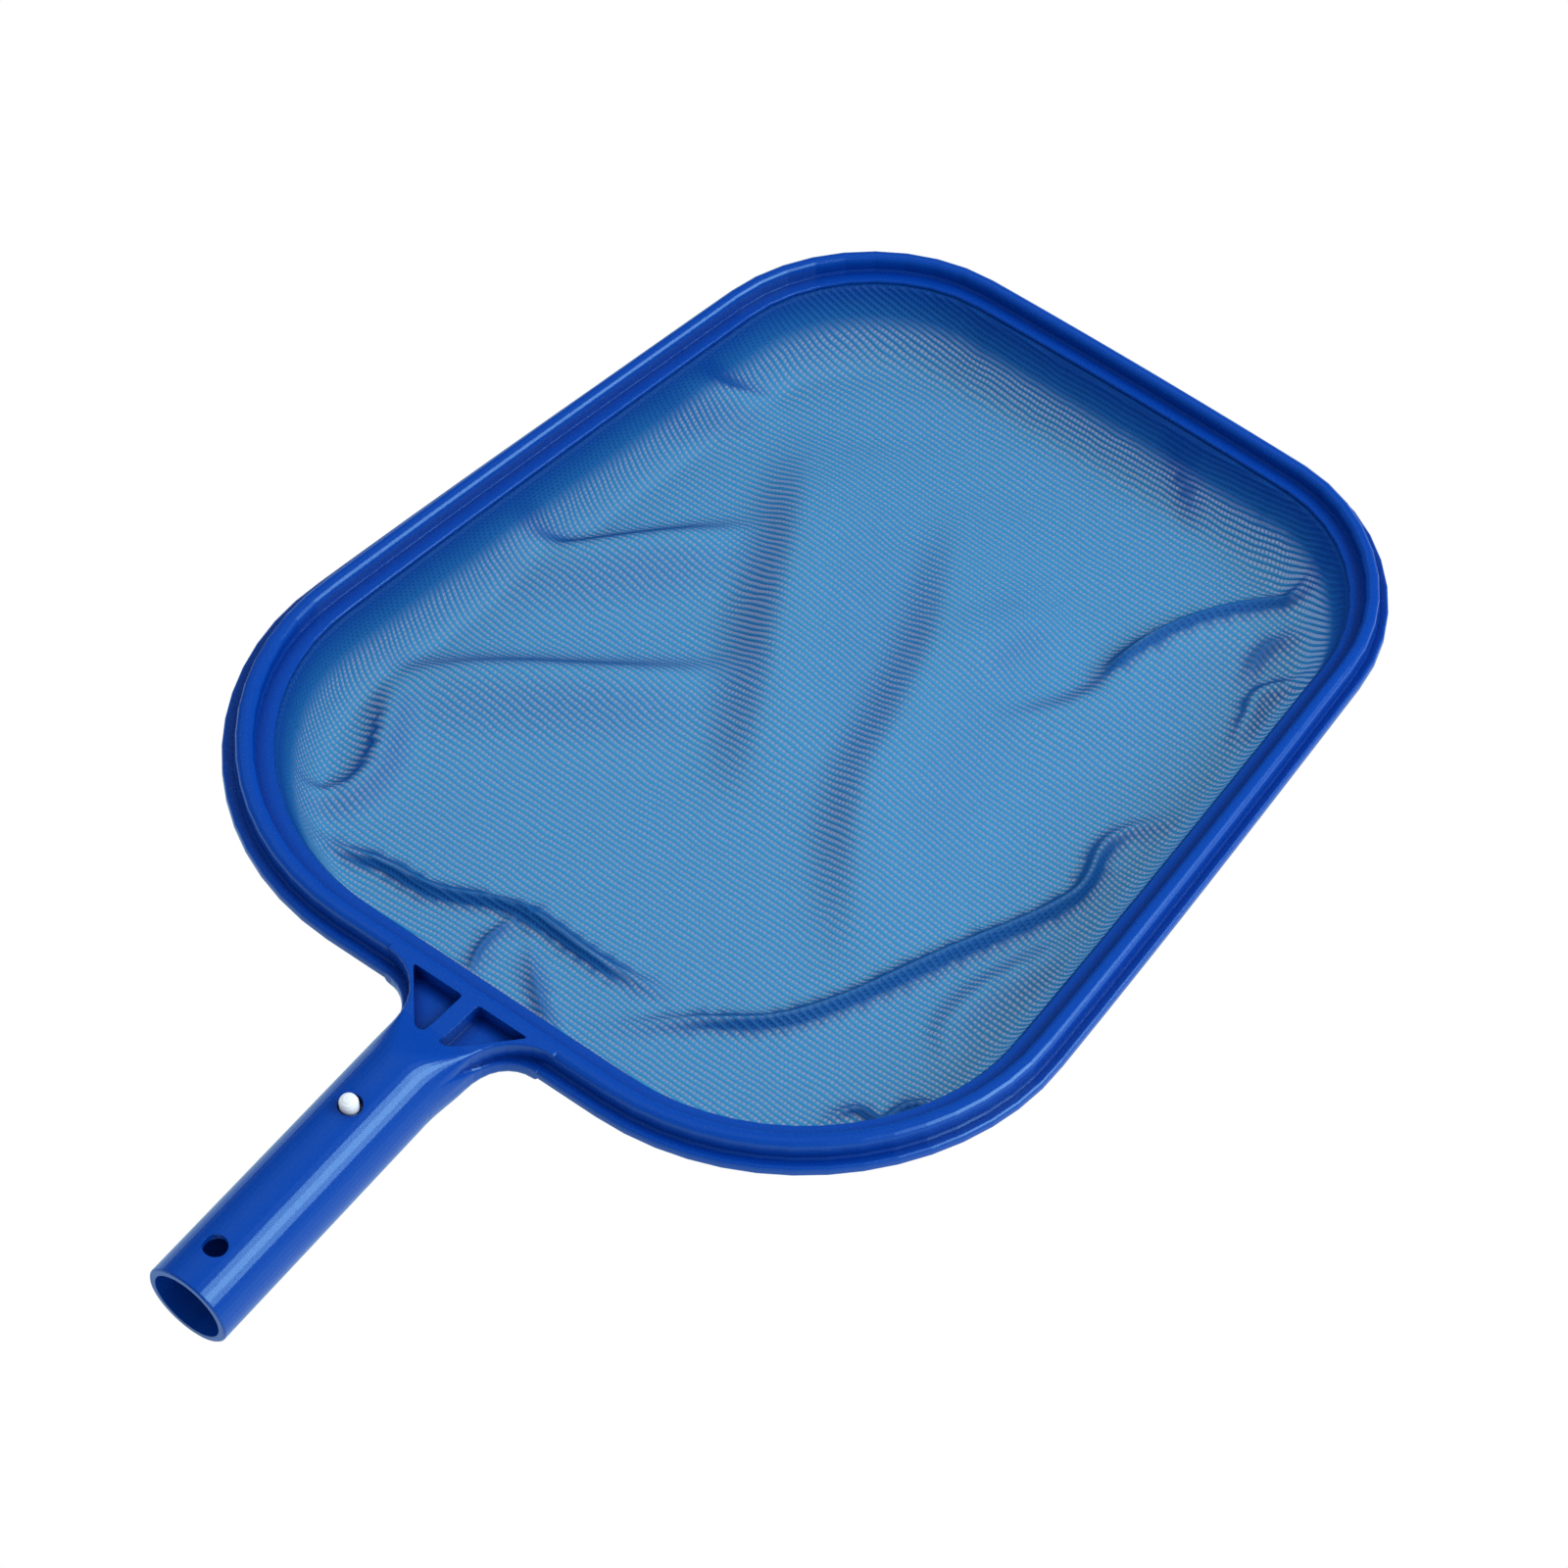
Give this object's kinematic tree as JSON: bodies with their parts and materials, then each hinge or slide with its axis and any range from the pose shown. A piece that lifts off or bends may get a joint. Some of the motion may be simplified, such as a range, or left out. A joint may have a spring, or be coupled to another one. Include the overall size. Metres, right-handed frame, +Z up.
{
  "type": "leaf skimmer net",
  "caption": "Flat pool leaf skimmer: a rounded moulded frame holding a shallow mesh net, with a tilted handle socket and a spring clip whose snap buttons lock into a pole",
  "frame": {"origin": "middle of the footprint, on the surface the part stands on", "axes": "+X from the socket's mouth to the leading edge, +Y across the head, +Z up, the head level"},
  "size_m": [0.4724, 0.2962, 0.042],
  "materials": {
    "frame": "smooth moulded blue plastic",
    "net": "fine woven mesh",
    "spring": "spring strip",
    "button": "off-white plastic"
  },
  "bodies": {
    "skimmer": {"frame_and_socket": "frame", "net_bag": "net", "clip_bend": "spring"},
    "upper_arm": {"clip_upper_arm": "spring", "upper_snap_button": "button"},
    "lower_arm": {"clip_lower_arm": "spring", "lower_snap_button": "button"}
  },
  "joints": [
    {"name": "upper_button_press", "type": "hinge", "parent": "skimmer", "child": "upper_arm", "pos_m": [-0.20392, 0, 0.02499], "axis": [0, 1, 0], "range_deg": [0, 5.6], "stiffness_Nm_per_rad": 3},
    {"name": "lower_button_press", "type": "hinge", "parent": "skimmer", "child": "lower_arm", "pos_m": [-0.20231, 0, 0.01189], "axis": [0, -1, 0], "range_deg": [0, 5.6], "stiffness_Nm_per_rad": 3}
  ]
}
